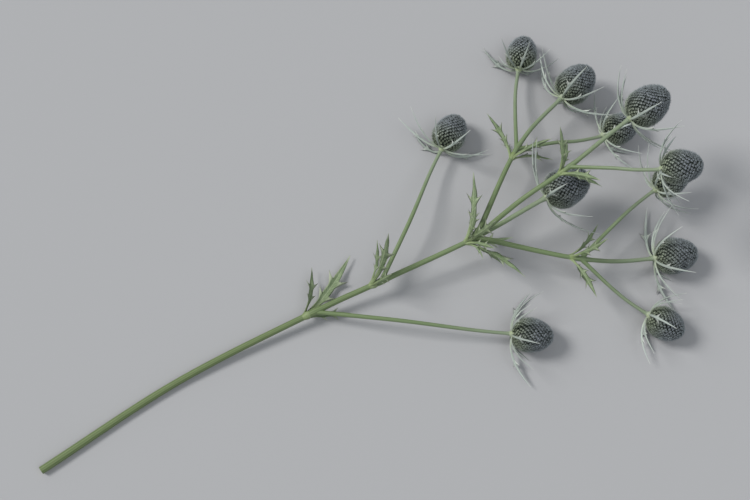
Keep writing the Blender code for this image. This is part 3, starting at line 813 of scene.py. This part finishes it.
def smooth_frames(frames, heel, shares):
    """The blade's frames at finer shares of its length, along a smooth curve from its heel, which
    is one step before its root, through its points."""
    points = np.array([heel, *[f[0] for f in frames]])
    sides = np.array([frames[0][2], *[f[2] for f in frames]])
    last = len(frames)
    places = np.clip(1 + shares * (last - 1), 0, last - 1e-9)
    index = places.astype(int)
    t = (places - index)[:, None]
    curve = curve_through(points, index, t)
    across = sides[index] * (1 - t) + sides[index + 1] * t
    forward = unit_rows(np.gradient(curve, axis=0))
    across = unit_rows(across - forward * (across * forward).sum(axis=1)[:, None])
    return curve, forward, across, np.cross(forward, across)


def smooth_half_width(outline, share):
    """The outline's half width with rounded corners, ending in a fine needle."""
    near = [half_width(outline, min(max(share + d, 0.0), 1.0)) for d in ROUNDING]
    return sum(near) / len(near)


def heel_of(root, centre, axis, radius):
    """Where a blade leaves the skin of the stem, a little below its root."""
    out = root - centre
    out -= axis * out.dot(axis)
    return centre + out.normalized() * (radius * HEEL_RADIUS) - axis * HEEL_DEPTH


def section_shares(outline):
    """The shares of a blade's length at which it has a section, from its heel to its tip."""
    shares = {k / BLADE_SECTIONS for k in range(BLADE_SECTIONS)}
    for at, _, _ in outline["teeth"]:
        shares |= {at + TOOTH_HALF * place for place in TOOTH_PLACES}
    return np.array(sorted(shares | {LAST_SECTION, *HEEL_SHARES}))


def nearest_tooth(outline, share, scale):
    """How close a tooth is, from 0 to 1 at its point, and its reach there outwards and forwards."""
    nearest = (0.0, 0.0, 0.0)
    for at, out, on in outline["teeth"]:
        near = max(0.0, 1 - abs(share - at) / TOOTH_HALF) ** TOOTH_SHARPNESS
        if near > nearest[0]:
            nearest = (near, out * scale * near, on * scale * near)
    return nearest


def section_lift(face, a, wide, share, phase, wave):
    """How far a section's point lies out of the blade's face, at the share a of its half width."""
    thick = ROOT_THICKNESS + (TIP_THICKNESS - ROOT_THICKNESS) * max(share, 0.0)
    lift = FINE_FOLD * wide * abs(a) ** FOLD_POWER + face * thick * (1 - abs(a))
    if a == 0:
        lift += RIB_RISES[face] * (1 - share)
    ripple = wave * min(1.0, wide / RIPPLE_WIDTH)
    turn = phase + RIPPLES * share + (RIPPLE_OFFSET if a > 0 else 0)
    return lift + ripple * abs(a) * math.sin(turn)


def add_fine_blade(shape, kind, frames, heel, scale, rng):
    """A blade with a channelled face, a raised midrib, spines along its edges, and a needle tip."""
    outline = kind["outline"]
    shares = section_shares(outline)
    curve, forward, across, normal = smooth_frames(frames, heel, shares)
    phase = rng.uniform(0, 2 * math.pi)
    tone = rng.random()
    points, alongs, acrosses, spines = [], [], [], []
    for i, share in enumerate(shares):
        wide = smooth_half_width(outline, share) * scale * kind["narrowing"]
        wide *= 1 + HEEL_NARROWING * min(share, 0.0)
        spine, outwards, forwards = nearest_tooth(outline, share, scale)
        for face, a in SECTION:
            follows = abs(a) ** TOOTH_POWER
            offset = a * wide + math.copysign(outwards * follows, a)
            lift = section_lift(face, a, wide, share, phase, kind["wave"])
            points.append(curve[i] + across[i] * offset + forward[i] * (forwards * follows)
                          + normal[i] * lift)
            alongs.append(share)
            acrosses.append(abs(a) + spine * follows)
            spines.append(spine * follows + max(0.0, share - PALE_FROM) * PALE_RISE)
    sides = len(SECTION)
    faces = ring_faces(len(shares), sides)
    last = (len(shares) - 1) * sides
    tip, root = len(points), len(points) + 1
    for k in range(sides):
        faces.append((last + k, last + (k + 1) % sides, tip))
        faces.append(((k + 1) % sides, k, root))
    shape.add([*points, np.array(frames[-1][0]), curve[0]], faces, along=[*alongs, 1.0, 0.0],
              across=[*acrosses, 0.0, 0.0], spine=[*spines, 1.0, 0.0], tone=tone)


def rosette_shape(seed, kind, rosette, axis, stem_radius, collar):
    """A ring of fine blades that come out of the stem, with the turned collar that holds them."""
    rng = random.Random(seed)
    shape = Shape()
    for frames, scale in rosette["blades"]:
        heel = heel_of(frames[0][0], rosette["centre"], axis, stem_radius)
        add_fine_blade(shape, kind, frames, heel, scale, rng)
    points, faces = lathe(collar)
    place = seat_matrix(rosette["centre"], axis)
    shape.add(placed_points(points, place), faces, along=0.02, across=0.3, spine=0.0, tone=0.5)
    return shape


def ruff_shape(name, shoot, ruff):
    """The bracts of a ruff on a small rounded cup under the head."""
    half = COLLAR_HEIGHT / 2
    cup = [(radius, height * half) for radius, height in RUFF_CUP]
    return rosette_shape("ruff " + name, FINE_BRACT, ruff, shoot["looks"], shoot["radii"][-2], cup)


def whorl_shape(name, whorl):
    """The leaves of a whorl on the sheath that clasps the stem."""
    half = WHORL_HEIGHT / 2
    walls = {"inner": whorl["inner"] - WHORL_GAP,
             "outer": whorl["inner"] + WHORL_WALL * SHEATH_WALL}
    sheath = [(walls[wall] + more, height * half) for wall, more, height in SHEATH]
    return rosette_shape("whorl " + name, FINE_LEAF, whorl, whorl["axis"], walls["inner"], sheath)


def fine_route(route, radii):
    """The coarse route and radii of a shoot, resampled on a smooth curve with short steps."""
    points = np.array([tuple(p) for p in route])
    lengths = np.concatenate([[0], np.cumsum(np.linalg.norm(np.diff(points, axis=0), axis=1))])
    at = np.linspace(0, lengths[-1], int(lengths[-1] / FINE_SPACING))
    index = np.clip(np.searchsorted(lengths, at, side="right") - 1, 0, len(points) - 2)
    t = ((at - lengths[index]) / (lengths[index + 1] - lengths[index]))[:, None]
    return curve_through(points, index, t), np.interp(at, lengths, radii), at


def stem_hoops(curve, radii, turns, ribs):
    """The ribbed ring about each point of a shoot's curve, swollen near a fork."""
    forks = [np.array(fork) for _, fork, _, _ in WHORLS.values()]
    forward = unit_rows(np.gradient(curve, axis=0))
    side = np.cross(forward[0], UP)
    hoops = []
    for i, middle in enumerate(curve):
        side = side - forward[i] * side.dot(forward[i])
        side /= np.linalg.norm(side)
        up = np.cross(forward[i], side)
        nearest = min(np.linalg.norm(middle - fork) for fork in forks)
        radius = radii[i] * (1 + NODE_SWELLING * math.exp(-((nearest / NODE_LENGTH) ** 2)))
        ribbed = radius * (1 + RIB_SHARE * ribs)
        hoops.append((np.outer(np.cos(turns), side) + np.outer(np.sin(turns), up)) * ribbed[:, None])
    return hoops


def add_shoot(shape, shoot):
    """One shoot as a ribbed tube, closed at both ends."""
    curve, radii, at = fine_route(shoot["route"], shoot["radii"])
    turns = 2 * math.pi * np.arange(STEM_SIDES) / STEM_SIDES
    ribs = np.cos(STEM_RIBS * turns)
    hoops = stem_hoops(curve, radii, turns, ribs)
    rings = [middle + hoop for middle, hoop in zip(curve, hoops)]
    shape.add(np.concatenate(rings), ring_faces(len(curve), STEM_SIDES), cut=0.0,
              rib=np.tile(ribs, len(curve)), around=np.tile(np.sin(turns / 2), len(curve)),
              from_head=np.repeat(at[-1] - at, STEM_SIDES))
    for end, flip in ((0, True), (-1, False)):
        add_cut_face(shape, curve[end], hoops[end], at[-1], flip)


def add_cut_face(shape, centre, hoop, from_head, flip):
    """The flat end of a shoot, from its rind to the pith in its middle."""
    points = np.concatenate([*(centre + hoop * share for share, _ in CUT_RINGS), centre[None]])
    pith = np.append(np.repeat([depth for _, depth in CUT_RINGS], STEM_SIDES), 1.0)
    faces = ring_faces(len(CUT_RINGS), STEM_SIDES)
    middle = len(points) - 1
    last = middle - STEM_SIDES
    faces += [(last + k, last + (k + 1) % STEM_SIDES, middle) for k in range(STEM_SIDES)]
    if flip:
        faces = [face[::-1] for face in faces]
    shape.add(points, faces, cut=RIND_VALUE + PITH_VALUE * pith, rib=0.0, around=0.5,
              from_head=from_head)


def stem_shape(shoots):
    """The main stem and its branches, as tubes that run into each other."""
    shape = Shape()
    for shoot in shoots.values():
        add_shoot(shape, shoot)
    return shape


class Nodes:
    """A short way to write a material's nodes."""

    def __init__(self, name, roughness):
        self.material = bpy.data.materials.new(name)
        self.material.use_nodes = True
        self.tree = self.material.node_tree
        self.shader = self.tree.nodes["Principled BSDF"]
        self.shader.inputs["Roughness"].default_value = roughness
        self.shader.inputs["Specular IOR Level"].default_value = 0.35

    def feed(self, socket, given):
        """Sets a socket to a number or a colour, or links it to another node's output."""
        if isinstance(given, (int, float)):
            socket.default_value = given
        elif isinstance(given, tuple):
            socket.default_value = (*given, 1.0)
        else:
            self.tree.links.new(given, socket)

    def new(self, kind, inputs, output, **settings):
        """One output of a new node with these inputs and settings."""
        node = self.tree.nodes.new("ShaderNode" + kind)
        for name, setting in settings.items():
            setattr(node, name, setting)
        for socket, given in inputs.items():
            self.feed(node.inputs[socket], given)
        return node.outputs[output]

    def value(self, name):
        """A value that the mesh carries at each point."""
        return self.new("Attribute", {}, "Fac", attribute_name=name)

    def noise(self, scale, place=None, detail=3.0):
        """Soft patches over the object, or over the place that is given."""
        if place is None:
            place = self.new("TexCoord", {}, "Object")
        return self.new("TexNoise", {"Vector": place, "Scale": scale, "Detail": detail}, "Fac")

    def streaks(self, across, along, pattern):
        """Noise over two values, drawn out by the pattern's stretch."""
        scale, (wide, long), detail = pattern
        place = {"X": self.times(across, wide), "Y": self.times(along, long)}
        return self.noise(scale, self.new("CombineXYZ", place, "Vector"), detail)

    def ramp(self, source, stops):
        """Colours along a value. Each stop is (place, colour)."""
        node = self.tree.nodes.new("ShaderNodeValToRGB")
        elements = node.color_ramp.elements
        while len(elements) < len(stops):
            elements.new(1.0)
        for element, (place, colour) in zip(elements, stops):
            element.position = place
            element.color = (*colour, 1.0)
        self.feed(node.inputs["Fac"], source)
        return node.outputs["Color"]

    def fade(self, source, start, end):
        """Strengths along a value, from one (place, strength) to another."""
        return self.ramp(source, [(place, (strength,) * 3) for place, strength in (start, end)])

    def mix(self, share, first, second, blend="MIX"):
        inputs = {"Factor": share, "A": first, "B": second}
        return self.new("Mix", inputs, "Result", data_type="RGBA", blend_type=blend)

    def math(self, operation, first, second=0.0):
        return self.new("Math", {0: first, 1: second}, "Value", operation=operation)

    def times(self, first, second):
        return self.math("MULTIPLY", first, second)

    def bump(self, height, strength, distance):
        inputs = {"Height": height, "Strength": strength, "Distance": distance}
        self.feed(self.shader.inputs["Normal"], self.new("Bump", inputs, "Normal"))

    def colour(self, source):
        self.feed(self.shader.inputs["Base Color"], source)

    def toned(self, colour, least, most):
        """The colour, a little darker or paler from one floret or blade to the next."""
        shade = self.fade(self.value("tone"), (0.0, least), (1.0, most))
        return self.mix(1.0, colour, shade, "MULTIPLY")


def head_material():
    """Florets from dark green in the gaps, a painted shade, to pale steel blue at the tips, greener
    low down.
    """
    nodes = Nodes("floret", 0.6)
    shade = nodes.value("tip")
    low = nodes.fade(nodes.value("row"), (0.02, 1.0), (0.50, 0.0))
    colour = nodes.mix(low, nodes.ramp(shade, FLORET_BLUES), nodes.ramp(shade, FLORET_GREENS))
    petal = nodes.mix(low, BLUE_PETAL, GREEN_PETAL)
    colour = nodes.mix(nodes.times(nodes.value("petal"), PETAL_SHARE), colour, petal)
    # All florets are darkened, to between 0.47 and 0.69, as painted shade over the whole head, with
    # a random spread from one floret to the next.
    nodes.colour(nodes.toned(colour, 0.47, 0.69))
    return nodes.material


def blade_veins(nodes, along, across, patches, strength):
    """Slanting side veins, bent by the patches, with a fine net between them."""
    bent = nodes.math("ADD", nodes.times(across, VEIN_SLANT), nodes.times(patches, VEIN_BEND))
    slant = nodes.math("ADD", nodes.times(along, VEIN_TURNS), bent)
    wave = nodes.math("ABSOLUTE", nodes.math("SINE", slant))
    net = nodes.fade(nodes.noise(NET_SCALE), (0.50, 0.0), (0.60, 0.5))
    veins = nodes.math("MAXIMUM", nodes.math("POWER", wave, VEIN_SHARPNESS), net)
    return nodes.times(veins, strength)


def blade_material(name, colours):
    """A blade's colours from root to tip, with a pale midrib, fine veins, and pale spines."""
    nodes = Nodes(name, 0.5)
    along, across = nodes.value("along"), nodes.value("across")
    root, rib, spine = colours["root"], colours["rib"], colours["spine"]
    patches, stripes = nodes.noise(PATCH_SCALE), nodes.streaks(across, along, STRIPES)
    veins = blade_veins(nodes, along, across, patches, colours["veins"])
    colour = nodes.ramp(along, ((0.0, root), (0.30, colours["middle"]), (0.75, colours["tip"])))
    for share, over in ((nodes.fade(patches, (0.35, 0.0), (0.70, 0.5)), rib),
                        (nodes.fade(stripes, (0.45, 0.0), (0.65, 0.4)), root),
                        (veins, rib),
                        (nodes.fade(across, (0.0, 0.9), (0.16, 0.0)), rib),
                        (nodes.fade(across, (0.80, 0.0), (1.0, 0.55)), spine),
                        (nodes.fade(nodes.value("spine"), (0.1, 0.0), (0.7, 0.9)), spine)):
        colour = nodes.mix(share, colour, over)
    nodes.colour(nodes.toned(colour, 0.84, 1.12))
    nodes.bump(nodes.math("ADD", nodes.times(veins, VEIN_DEPTH), patches), 0.25, 0.0002)
    return nodes.material


def stem_material():
    """Green with pale ribs and fine streaks, bluer near the heads, pale where it was cut."""
    nodes = Nodes("stem", 0.45)
    from_head, cut = nodes.value("from_head"), nodes.value("cut")
    colour = nodes.ramp(nodes.times(from_head, COLOUR_SCALE), STEM_GREENS)
    colour = nodes.mix(nodes.fade(nodes.value("rib"), (0.2, 0.0), (1.0, 0.5)), colour, STEM_RIB)
    streaks = nodes.streaks(nodes.value("around"), from_head, STREAKS)
    colour = nodes.mix(nodes.fade(streaks, (0.42, 0.0), (0.70, 0.55)), colour, STEM_STREAK)
    flecks = nodes.fade(nodes.noise(FLECK_SCALE), (0.66, 0.0), (0.74, 0.5))
    colour = nodes.mix(flecks, colour, STEM_FLECK)
    on_face = nodes.math("GREATER_THAN", cut, CUT_STARTS)
    nodes.colour(nodes.mix(on_face, colour, nodes.ramp(cut, CUT_COLOURS)))
    nodes.bump(nodes.math("ADD", streaks, nodes.noise(GRAIN_SCALE)), 0.3, 0.00015)
    return nodes.material


def add_floor():
    nodes = Nodes("surface", 0.75)
    nodes.colour(SURFACE_GREY)
    floor = Shape()
    half = FLOOR_SIZE / 2
    floor.add([(-half, -half, 0), (half, -half, 0), (half, half, 0), (-half, half, 0)],
              [(0, 1, 2), (0, 2, 3)])
    made = mesh_object("surface", floor, nodes.material)


def add_lights():
    """The distant lamps, which shine towards the middle, and the air's light."""
    for name, (place, width, strength, colour) in LAMPS.items():
        lamp = bpy.data.lights.new(name, "SUN")
        lamp.angle = math.radians(width)
        lamp.energy = strength
        lamp.color = colour
        made = new_object(name, lamp)
        made.location = place
        made.rotation_euler = Vector(place).to_track_quat("Z", "Y").to_euler()
    world = bpy.data.worlds.new("air")
    world.use_nodes = True
    air = world.node_tree.nodes["Background"]
    air.inputs["Color"].default_value = (*AIR_COLOUR, 1.0)
    air.inputs["Strength"].default_value = AIR_STRENGTH
    bpy.context.scene.world = world


def add_camera():
    """The camera, turned and raised about the point that it aims at."""
    turn, height = math.radians(VIEW_TURN), math.radians(VIEW_HEIGHT)
    back = Vector((math.sin(turn) * math.cos(height), -math.cos(turn) * math.cos(height),
                   math.sin(height)))
    lens = bpy.data.cameras.new("camera")
    lens.lens = CAMERA_LENS
    lens.clip_start = NEAREST_SEEN
    made = new_object("camera", lens)
    made.location = Vector(CAMERA_AIM) + back * CAMERA_DISTANCE
    made.rotation_euler = back.to_track_quat("Z", "Y").to_euler()
    bpy.context.scene.camera = made


def show(name, shape, material, slot, *nodes):
    """A finished piece: it rides on the part's one body and stands for the part's own nodes."""
    made = mesh_object(name, shape, material)
    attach(made, "root")
    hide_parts(*nodes)


def add_stem(shoots, whorls, ruffs):
    """The stem's skin, the leaves of each whorl, and each head with its ruff."""
    show("stem_skin", stem_shape(shoots), stem_material(), "stem_green", "stem")
    leaf = blade_material("leaf", LEAF_COLOURS)
    bract = blade_material("bract", BRACT_COLOURS)
    florets = head_material()
    for name, whorl in whorls.items():
        show(f"whorl_{name}_leaves", whorl_shape(name, whorl), leaf, "leaf_green", "whorl_" + name)
    for name, shoot in shoots.items():
        show(f"ruff_{name}_bracts", ruff_shape(name, shoot, ruffs[name]), bract,
             "bract_silver_green", "ruff_" + name)
        show(f"head_{name}_florets", head_shape(name, shoot), florets, "head_steel_blue",
             "head_" + name)


def main():
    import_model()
    shoots = grow_shoots()
    clearance = Clearance(shoots)
    whorls = place_whorls(shoots, clearance)
    ruffs = place_ruffs(shoots, clearance)
    add_stem(shoots, whorls, ruffs)
    add_floor()
    add_lights()
    add_camera()
    bpy.context.scene.view_settings.view_transform = "Standard"


main()
